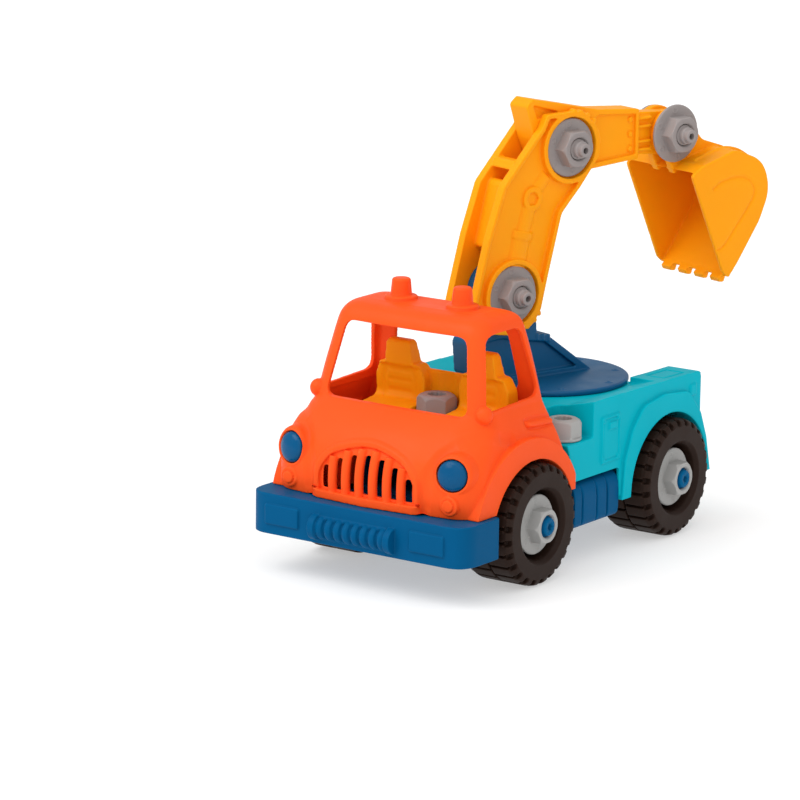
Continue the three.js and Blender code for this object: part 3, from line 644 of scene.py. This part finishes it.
def cab_loft(levels, offset=0.0, drop=0.0):
    """The cab's outer form, or its room when offset inwards, through smoothed levels."""
    rings = []
    last = levels[-1][0]
    for z, rear, front, half, corner, bow in spline(levels, 4):
        if z == levels[0][0]:
            z += drop
        else:
            z -= offset * (1 if z == last else 0.35)
        rear, front, half = rear + offset, front - offset, half - offset
        corner, back = max(corner - offset, 2), max(6 - offset, 2)
        side = [(rear + back - back * math.cos(t), back - half - back * math.sin(t))
                for t in np.linspace(0, math.pi / 2, 7)]
        side += [(front - corner + corner * math.sin(t), corner - half - corner * math.cos(t))
                 for t in np.linspace(0, math.pi / 2, 15)]
        flat = half - corner
        side += [(front + bow * (1 - (y / flat) ** 2), y) for y in np.linspace(-flat, 0, 9)[1:]]
        ring_points = [(x, y, z) for x, y in side]
        rings.append(ring_points + [(x, -y, z) for x, y, z in reversed(ring_points[:-1])])
    return closed(rings)


LAMP = Matrix.Translation((161.3, 68, 88.8)) @ Matrix.Rotation(math.radians(13), 4, "Z") @ Matrix.Rotation(
    math.radians(-6), 4, "Y")  # the middle of the left headlight, with +x out of its lens
PITCH, ARCH_DROP = 11.6, 1.25  # spacing of the grille's slots, and how fast their tops fall to the sides


def cab_mesh():
    low = HOOD[0][0]
    outer = join(cab_loft(HOOD), cab_loft(ROOF))
    room = join(cab_loft(HOOD, WALL, -4), cab_loft(ROOF, WALL, -2))
    flares = [common(rod(65, 96, 40, 78, FLARE, 96), box(38, 158, 70, 120, low, 120))]
    flares += [flipped(flares[0])]
    radius, *centre = FRONT_ARCH
    liners = pair(common(rod(radius + WALL, *centre, ARCH_INNER - WALL, 82, 96),
                         box(36.5, 200, 0, 120, low, 220)))
    bar = prism("z", [(160, -47), (169.5, -47, 4), (173, 0, 60), (169.5, 47, 4), (160, 47)], low, 64.8)
    beacon = [(0, -4), (11.6, -4), (11.6, 2.2), (11, 3.2), (7.6, 3.6), (6.6, 14.2), (5.6, 15.4), (0, 15.5)]
    beacons = [turned(beacon, "z", (92, y, 188)) for y in (26, -26)]
    trim = cab_loft(ROOF, WALL, -2)
    mirrors = pair(ball((128, 70.4, 125), 6.4, (0.95, 0.95, 1)))
    pod = [(0, -32), (20, -32), (17.6, -12), (15.4, -3), (14.6, -0.4), (13.4, 1.1), (0, 1.4)]
    pods = pair(placed(turned(pod, "x"), LAMP))
    body = join(cut(join(outer, *flares), room), *liners, bar, *mirrors, *pods)
    body = cut(join(body, *beacons), trim)
    wells = pair(rod(radius, *centre, ARCH_INNER, 120, 96))
    windows = [prism("x", mirrored([(60.3, 122.5, 7), (51, 175.5, 9)]), 108, 160),
               prism("x", mirrored([(54, 128, 8), (47, 174, 9)]), 40, 90),
               prism("y", [(63, 128.5, 8), (126.5, 126, 7), (115.5, 177, 10), (75.5, 177.5, 10)], -95, 95)]
    body = cut(body, *wells, *windows)
    # The grille is a shallow arched recess with seven slots, and round bars that stand between the slots.
    arch = [(-41, 64.4), (41, 64.4), (40.5, 78, 10), (33, 91, 16), (0, 101.5, 60), (-33, 91, 16),
            (-40.5, 78, 10)]
    recess = cut(prism("x", arch, 140, 180), placed(cab_loft(HOOD), Matrix.Translation((-2.0, 0, 0))))
    slots = []
    for k in range(-3, 4):
        y, top = k * PITCH, 93 - ARCH_DROP * k * k
        outline = [(y - 2.7, 66), (y + 2.7, 66), (y + 2.7, top, 2.6), (y - 2.7, top, 2.6)]
        slots.append(prism("x", outline, 145, 180))
    lamps = pair(placed(turned([(0, -30), (11.4, -30), (11.4, 30), (0, 30)], "x"), LAMP))
    body = cut(body, recess, *slots, *lamps)
    face = BVHTree.FromBMesh(cab_loft(HOOD))
    bars = []
    for k in np.arange(-2.5, 3):
        heights = np.linspace(61, 96.5 - ARCH_DROP * k * k, 9)
        hits = [face.ray_cast(Vector((220, k * PITCH, z)), Vector((-1, 0, 0)))[0] for z in heights]
        bars.append(tube([hit - Vector((1.9, 0, 0)) for hit in hits], 3.3))
    rims = pair(placed(ring(12.5, 0.7, "x", (1.2, 0, 0), 48), LAMP))
    marker = [(0, -5), (6.9, -5), (6.9, 1), (6.2, 1.5), (5.2, 1.5), (5.2, 0.9), (4.2, 0.9), (4.2, 3),
              (0, 3.2)]
    markers = pair(turned(marker, "x", (164.6, 67.8, 68.2)))
    mesh = moulded(merged(body, *bars, *rims, *markers), 0.55, 2)

    rim = [(43.5, 65), (42.5, 78), (36, 88.5), (24, 96.5)]
    rim = [(-y, z) for y, z in rim] + [(0, 101.5)] + rim[::-1]
    grille_frame = [face.ray_cast(Vector((220, y, z)), Vector((-1, 0, 0)))[0] for y, z in spline(rim)]
    press(mesh, grille_frame, 4.0, 1.5, (1, 0, 0))
    crease = spline([(168, 48, 60), (167.5, 48.5, 74), (165, 51, 88), (160, 56, 98), (151, 63, 105),
                     (140, 70, 108.5), (126, 76.5, 109), (110, 80.5, 106)])
    for path in both_sides(crease):
        press(mesh, path, 7.0, -1.6)
    for y in (78.5, -78.5):
        scoop = spline([(57, y, 108.5), (57, y, 113), (66, y, 115), (86, y, 116), (88, y, 112), (84, y, 109),
                        (70, y, 107.5), (57, y, 108.5)], 6)
        press(mesh, scoop, 2.4, -1.2)
        press(mesh, [(58, y, 110), (85, y, 112)], 2.8, 1.5)
        press(mesh, [(66, y, 104.5), (78, y, 105.5)], 2.4, 1.2)
    return mesh


piece("cab_body", cab_mesh(), TRUCK, "truck", ORANGE, "orange_body", "cab")

dome = [(0, -7), (10.8, -7), (10.8, 0.8), (10.2, 2), (8.6, 3.2), (5.8, 4.3), (2.8, 4.9), (0, 5.1)]
lens = moulded(turned(dome, "x"), 0.6, 2)
for side, sign in SIDES.items():
    at = TRUCK @ (LAMP if sign > 0 else Matrix.Diagonal((1, -1, 1, 1)) @ LAMP)
    mesh = lens.copy()
    if sign < 0:
        mesh.flip_normals()
    piece(f"headlight_lens_{side}", mesh, at, "truck", LENS, "blue_lens", f"headlight_{side}")


# ---------- seats ----------
def seats_mesh():
    floor = PEDESTAL_TOP + GAP
    slab = box(62, 120, -40, 40, floor, floor + 5)
    middle = prism("y", [(62, floor), (70, floor), (72, 136, 2), (67, 136, 2)], -24, 24)
    side = [(62, floor), (104, floor, 4), (104, 111, 5), (78, 114, 6), (79.5, 137, 4), (81.5, 138),
            (82, 156.5, 4), (73.5, 156.5, 2), (67.5, 136)]
    face = [(15, floor), (56, floor), (56.5, 130, 9), (52, 139.5, 6), (47, 140), (45.5, 157, 5),
            (25.5, 157, 5), (24, 140), (19, 139.5, 6), (14.5, 130, 9)]
    seat = common(prism("x", face, 60, 106), prism("y", side, -60, 60))
    body = join(cut(slab, post(SCREW_HOLE, SEAT_BOLT_X, 0, floor - 1, floor + 6)), middle, *pair(seat))
    mesh = moulded(cut(body, post(14.5, SEAT_BOLT_X, 0, floor + 5, 150)), 0.8, 4)
    for sign in (1, -1):
        for z in (119, 126.5, 134):
            press(mesh, [(79, sign * 27, z), (79, sign * 44, z)], 2.6, -0.5, (1, 0, 0))
        for y, top_y in ((22, 25), (49, 46)):
            path = [(79, sign * y, 112), (79, sign * y, 128), (79, sign * top_y, 138)]
            press(mesh, path, 3.2, -0.6, (1, 0, 0))
    return mesh


piece("seat_pair", seats_mesh(), TRUCK, "truck", SEAT, "yellow_seats", "seats")


# ---------- bed ----------
def bed_mesh():
    rear, front, half, top, inner, rail_front, low = -130, 49.5, 84.5, 110.3, 57.5, -76, 38
    edge_front, edge_rear, flat, notch_rear = 115.8, 113.8, 62, 12.5
    radius, *centre = REAR_ARCH
    side = [(35.5, 62), (39.5, 75, 8), (46, 93, 8), (front, edge_front, 5), (notch_rear, edge_front),
            (rear, edge_rear, 3), (rear, low), (-34, low), (-22.8, 40, 3), (-22.8, 62, 3)]
    fender = [(-141.5, low), (-23.2, low), (-26, 66, 12), (-36, 88, 16), (-50, 102, 14), (-78, 106, 20),
              (-110, 102.5, 14), (-127, 84, 10), (-135.5, 64, 10)]
    inside = half - WALL
    room = [box(rear + WALL, 32, -inside, inside, 30, 86),
            box(rail_front + WALL, 36, -52, 52, 80, top - WALL),
            box(rail_front + WALL, notch_rear - WALL, -inside, inside, 80, top - WALL)]
    body = cut(join(prism("y", side, -half, half), *pair(prism("y", fender, 78, FLARE))), *room)
    liner = common(rod(radius + WALL, *centre, ARCH_INNER - WALL, 82, 96), box(-141.5, -26, 0, 90, low, 120))
    body = join(body, *pair(liner))
    notch = prism("z", [(notch_rear, 55, 7), (70, 55), (70, 100), (notch_rear, 100)], 90, 130)
    dip = [(flat, top, 20), (half, edge_front), (half + 9, edge_front + 3), (half + 9, 130), (-half - 9, 130),
           (-half - 9, edge_front + 3), (-half, edge_front), (-flat, top, 20)]
    body = cut(body, box(rear - 1, rail_front, -inner, inner, 97, 130), prism("x", dip, rail_front, 60),
               *pair(notch))
    body = cut(body, *pair(rod(radius, *centre, ARCH_INNER, 120, 96)),
               box(-150, 60, -BEAM_HALF - GAP, BEAM_HALF + GAP, 20, BEAM_TOP + GAP),
               box(-HALF_BASE - 12, 12 - HALF_BASE, -60, 60, 20, 58))
    body = join(body, *[box(x, x + 2.5, -38, 38, BEAM_TOP + GAP, top - 1) for x in (26, -18)])
    holes = [post(SCREW_HOLE, BOLT_X, sign * BOLT_Y, 60, 95) for sign in (1, -1)]
    holes.append(post(HUB + GAP, SLEW_X, 0, 100, 120))
    # An access panel with rivets and a handle, a small boss by the tail, and a shallow tray on each rail.
    outline = [(-21.5, 69, 2), (2.5, 69, 2), (2.5, 102.4, 2), (-21.5, 102.4, 2)]
    handle = [(-16.5, 92.6, 1), (-6, 92.6, 1), (-6, 97.6, 1), (-16.5, 97.6, 1)]
    tail_boss = [(-123, 97.5, 1.5), (-114.5, 97.5, 1.5), (-114.5, 105.5, 1.5), (-123, 105.5, 1.5)]
    panel = [cut(prism("y", outline, half - 1, half + 1.4), prism("y", inset(outline, 1.6), half, half + 2)),
             prism("y", inset(outline, 3.0), half - 1, half + 0.7), prism("y", handle, half - 1, half + 2)]
    panel += [ball((x, half + 0.7, z), 1.2) for x in (-18.4, -0.5) for z in (72.1, 99.3)]
    panel.append(prism("y", tail_boss, half - 1, half + 1.2))
    tray = [(-116, 62.5, 1.5), (-88, 62.5, 1.5), (-88, 79, 1.5), (-116, 79, 1.5)]
    to_corner = Matrix.Translation((rear, 0, edge_rear))
    tilt = Matrix.Rotation(-math.atan2(edge_front - edge_rear, notch_rear - rear), 4, "Y")
    slope = to_corner @ tilt @ to_corner.inverted()
    trays = pair(placed(cut(prism("z", tray, edge_rear - 1.1, edge_rear + 2),
                            prism("z", inset(tray, 2), edge_rear - 3, edge_rear - 0.1)), slope))
    body = cut(body, *holes, *trays)
    return moulded(merged(body, *[b for part in panel for b in pair(part)]), 0.65, 2)


piece("bed_body", bed_mesh(), TRUCK, "truck", CYAN, "cyan_bed", "bed")


# ---------- digger ----------
def pivot_hole(at):
    return rod(SHAFT + GAP, *at, -50, 50)


def both_faces(points, near, far):
    """A prism along y on each side of the arm, from near to far."""
    return [prism("y", points, near, far), prism("y", points, -far, -near)]


def turntable_mesh():
    edge, low, high, cheek = 62.3, 110.6, 114.4, 23.5
    disc = turned([(0, low), (edge - 0.7, low), (edge, low + 0.7), (edge, high - 0.9), (edge - 0.9, high),
                   (0, high)], "z", sides=128)
    hub = post(HUB, 0, 0, 100, 111.3)
    tongue = [(-66, 148), (-14, 146), (BASE[0] + cheek, BASE[1]), (BASE[0] - cheek, BASE[1])]
    block = [(40, 113, 2), (-4, 144.5, 2), (-46, 152, 2), (-77.5, 150, 6), (-75, 123.5, 4), (-57, 113)]
    tower = join(prism("y", tongue, -TONGUE, TONGUE), prism("y", block, -TONGUE, TONGUE),
                 rod(cheek, *BASE, -TONGUE, TONGUE, 96))
    tower = cut(tower, *both_faces(inset(block, 5), TONGUE - 3, 20))
    body = cut(join(disc, hub, tower), pivot_hole(BASE), post(SCREW_HOLE, 0, 0, 99, 110.3))
    spread = 54.5
    marks = [ring(2.2, 0.75, "z", (spread * math.cos(t), spread * math.sin(t), 114.3), 6)
             for t in around(8, 0.35)]
    ledge = [box(-4 - 5.4 * k, -2.2 - 5.4 * k, -TONGUE - 0.8, TONGUE + 0.8, 140 + 0.9 * k, 145.2 + 0.9 * k)
             for k in range(3)]
    return moulded(merged(body, *marks, *ledge), 0.6, 2)


piece("turntable_body", turntable_mesh(), ARM, "turntable", DISC, "blue_chassis", "turntable")

BOOM = [(-79.5, 172, 10), (-69, 154, 14), (-41, 149.5, 20), (-24, 155, 14), (-16.5, 166, 8), (-11, 188, 6),
        (1.3, 234, 12), (18, 251, 10), (35.5, 272, 14), (36.5, 290, 16), (20, 306.5, 12), (-13.7, 306.2, 3),
        (-18, 297, 4), (-53.1, 258.5, 10), (-66.1, 221.8, 8)]


def boom_mesh():
    body = join(*both_faces(BOOM, PLATE_IN, RIM))
    # Each plate is recessed inside a rim, with a collar round each pivot and the nut's cup in the collar.
    rim, collar, cup = 3.2, 26, 22.3
    recesses = []
    for recess in both_faces(inset(BOOM, rim), WEB, 20):
        recesses.append(cut(recess, rod(collar, *BASE, -30, 30, 96), rod(collar, *ELBOW, -30, 30, 96)))
    cups = [rod(cup, *at, *span, 96) for at in (BASE, ELBOW) for span in ((-20, -WEB), (WEB, 20))]
    body = cut(body, *recesses, *cups)
    spacer = prism("y", [(-58, 212, 4), (-20, 205, 4), (-5, 246, 6), (-45, 262, 6)], -11, 11)
    stop = prism("y", [(-43, 268, 1), (-32, 272, 1), (-32, 275, 1), (-40, 275, 1)], -11, 11)
    body = cut(join(body, spacer, stop), pivot_hole(BASE), pivot_hole(ELBOW))
    # Low relief of a hydraulic ram, by start, end, radius and rise: barrel, collar, sleeve, then past a
    # hexagonal eye the rod that goes up to the elbow.
    ram = [((-39, 0, 192), (-32.5, 0, 219), 8.2, 2.6), ((-32.6, 0, 218), (-31.2, 0, 223.5), 9.6, 3.2),
           ((-31.2, 0, 223), (-26, 0, 240), 6.1, 2.2), ((-21, 0, 250), (-10.5, 0, 262), 5.2, 1.8)]
    eye_a, eye_z = -23.6, 246.4
    relief = []
    for face, out in ((-WEB, -1), (WEB, 1)):
        for start, end, radius, rise in ram:
            flattened = Matrix.Translation((0, face, 0)) @ Matrix.Diagonal((1, rise / radius, 1, 1))
            relief.append(placed(tube([start, end], radius, 28), flattened))
        eye = prism("y", circle(eye_a, eye_z, 8.8, 28), *sorted((face - out, face + out * 2.4)))
        socket = placed(hexagon(9, *sorted((face, face + out * 5))), Matrix.Translation((eye_a, 0, eye_z)))
        relief.append(cut(eye, socket))
    # Small bumps on the plates' edges, over the elbow and under the base pivot.
    bumps = []
    for a, z in ((12.1, 306.4), (18.1, 305.2), (24.8, 302.4), (31, 298),
                 (-17.5, 163), (-21.4, 158.6), (-28, 154.6)):
        bumps += both_faces(circle(a, z, 1.9, 12), PLATE_IN + 1, RIM - 0.6)
    return moulded(merged(body, *relief, *bumps), 0.6, 3)


piece("boom_plates", boom_mesh(), ARM, "boom", YELLOW, "yellow_arm", "boom")


def stick_mesh():
    beam = [(-22, 317.5, 2), (-28, 312.5, 3), (-20, 288, 8), (-11, 268, 14), (6, 258.8, 14), (30, 261.5, 8),
            (79, 265, 2), (79, 301.5, 2), (40, 304.5, 8)]
    panel = [(33, 265.5, 2), (76, 268.5, 1.5), (76, 298, 1.5), (40, 300.5, 3), (33, 296, 3)]
    horn = [(-22, 313.2, 1), (-17.5, 302.5, 1), (4, 305.8, 1)]
    tongue = [(70, 268), (104, 265.5, 6), (122, 266, 14), (127, 281, 14), (122, 296, 14), (104, 297, 6),
              (70, 299)]
    fork = 5.7
    body = join(prism("y", beam, -TONGUE, TONGUE), prism("y", tongue, -fork, fork))
    body = cut(body, *both_faces(panel, TONGUE - 3, 20), *both_faces(horn, TONGUE - 3, 20),
               pivot_hole(ELBOW), pivot_hole(WRIST))
    bosses = [rod(2, 72, z, -TONGUE + 1.2, TONGUE - 1.2, 24) for z in (294, 283.4, 272.6)]
    webs = [box(80, 92, -TONGUE + 1, TONGUE - 1, z, z + 2) for z in (270, 276, 287, 293)]
    return moulded(merged(body, *bosses, *webs), 0.55, 3)


piece("stick_beam", stick_mesh(), ARM, "stick", YELLOW, "yellow_arm", "stick")

BUCKET = [(107.5, 253, 3), (140, 178.5, 2), (146, 173.5, 2), (155, 184.5, 8), (175.5, 213.5, 40),
          (185.2, 236, 40), (177.5, 258, 30), (150, 268.5, 14), (118, 259.5, 4)]
SCOOP = [(104, 253), (100, 240), (139, 172), (144.8, 177), (152.6, 186.5, 7), (172.6, 215.5, 38),
         (182, 236.5, 38), (175.5, 255.5, 28), (150, 265.3, 13), (119, 256.5, 3)]


def bucket_mesh():
    half, wall, ear_in, ear_out = 37, 2.8, 6, 11.7
    scoop = prism("y", SCOOP, wall - half, half - wall, 12)
    shell = cut(prism("y", BUCKET, -half, half, 12), scoop)
    a, z = WRIST
    ear = [(a - 12, z - 2), (112.5, 250, 2), (122, 257), (150, 265), (165, 265.5, 3), (140, 273.5, 8),
           (a + 10, z + 12, 6)]
    ears = [body for span in ((ear_in, ear_out), (-ear_out, -ear_in))
            for body in (prism("y", ear, *span), rod(18, a, z, *span, 72))]
    tooth = [(138, 178), (142, 170, 1), (146, 169.5, 1), (150, 180)]
    inside = prism("y", SCOOP, -36, 36, 12)
    teeth = [cut(prism("y", tooth, k * 17.7 - 5, k * 17.7 + 5), inside) for k in (-1.5, -0.5, 0.5, 1.5)]
    body = cut(join(shell, *ears, *teeth), pivot_hole(WRIST))
    ribs = [tube(spline([(122, y, 260.6), (136, y, 264.6), (150, y, 267.6), (164, y, 265),
                         (176, y, 258.6)], 5), 1.5) for y in (-22, 0, 22)]
    mesh = moulded(merged(body, *ribs), 0.7, 3)
    side_line = spline([(128.9, 0, 241.5), (137.8, 0, 246.1), (152.5, 0, 248), (163.8, 0, 244.8),
                        (169.6, 0, 236.4), (165.8, 0, 227.5), (152.7, 0, 212.1), (140.9, 0, 198.5),
                        (134, 0, 195.5)], 6)
    for face in (half, -half):
        press(mesh, side_line + np.array([0, face, 0]), 1.9, -0.8, (0, face / half, 0))
    return mesh


piece("bucket_shell", bucket_mesh(), ARM, "bucket", YELLOW, "yellow_arm", "bucket")

retainer = frame["nodes"]["turntable_retainer"]
retainer.data.materials.clear()
retainer.data.materials.append(GREY)

# ---------- floor, light and camera ----------
FLOOR_GLOW, ROOM_LIGHT = 0.44, 0.66
FLOOR_DROP = 0.0002  # metres under the tyres, so that the floor and they don't share a plane


def floor_material():
    material = bpy.data.materials.new("studio floor")
    material.use_nodes = True
    shader = material.node_tree.nodes["Principled BSDF"]
    shader.inputs["Base Color"].default_value = (0.62, 0.62, 0.62, 1)
    shader.inputs["Emission Color"].default_value = (1, 1, 1, 1)
    shader.inputs["Emission Strength"].default_value = FLOOR_GLOW
    shader.inputs["Roughness"].default_value = 0.9
    shader.inputs["Specular IOR Level"].default_value = 0.1
    return material


floor = bpy.data.objects.new("floor", bpy.data.meshes.new("floor"))
bm = bmesh.new()
bmesh.ops.create_grid(bm, x_segments=1, y_segments=1, size=15)
bm.to_mesh(floor.data)
bpy.context.scene.collection.objects.link(floor)
floor.data.materials.append(floor_material())
floor.location.z = cad_box[0].z - FLOOR_DROP

world = bpy.data.worlds.new("studio")
bpy.context.scene.world = world
world.use_nodes = True
world.node_tree.nodes["Background"].inputs["Color"].default_value = (1, 1, 1, 1)
world.node_tree.nodes["Background"].inputs["Strength"].default_value = ROOM_LIGHT


def soft_sun(name, towards, width, power):
    """A sun as wide as a soft box, whose light travels towards a direction."""
    data = bpy.data.lights.new(name, "SUN")
    data.angle, data.energy = math.radians(width), power
    lamp = bpy.data.objects.new(name, data)
    bpy.context.scene.collection.objects.link(lamp)
    lamp.rotation_mode = "QUATERNION"
    lamp.rotation_quaternion = Vector(towards).to_track_quat("-Z", "Y")


soft_sun("key", (-0.7, 0.45, -0.95), 40, 1.35)
soft_sun("top", (-0.4, -0.4, -1.0), 60, 0.5)
soft_sun("fill", (-0.75, -0.7, -0.25), 80, 0.45)

# The camera stands about 3.2 m away at the front left, a little above the truck, with a long lens.
AZIMUTH, ELEVATION, ROLL = (math.radians(angle) for angle in (35.42, 12.94, 0.73))
CAMERA_AT = (middle_x + 2.59871, 1.75680, 0.82248)
level = math.cos(ELEVATION)
back = Vector((math.cos(AZIMUTH) * level, math.sin(AZIMUTH) * level, math.sin(ELEVATION)))
right = Vector((0, 0, 1)).cross(back).normalized()
up = back.cross(right)
right, up = (right * math.cos(ROLL) + up * math.sin(ROLL), up * math.cos(ROLL) - right * math.sin(ROLL))
camera = bpy.data.objects.new("camera", bpy.data.cameras.new("camera"))
bpy.context.scene.collection.objects.link(camera)
camera.data.lens, camera.data.sensor_width = 202.5, 36
camera.data.clip_start, camera.data.clip_end = 0.1, 60
camera.matrix_world = Matrix.Translation(CAMERA_AT) @ Matrix((right, up, back)).transposed().to_4x4()
bpy.context.scene.camera = camera
bpy.context.scene.view_settings.view_transform = "Standard"
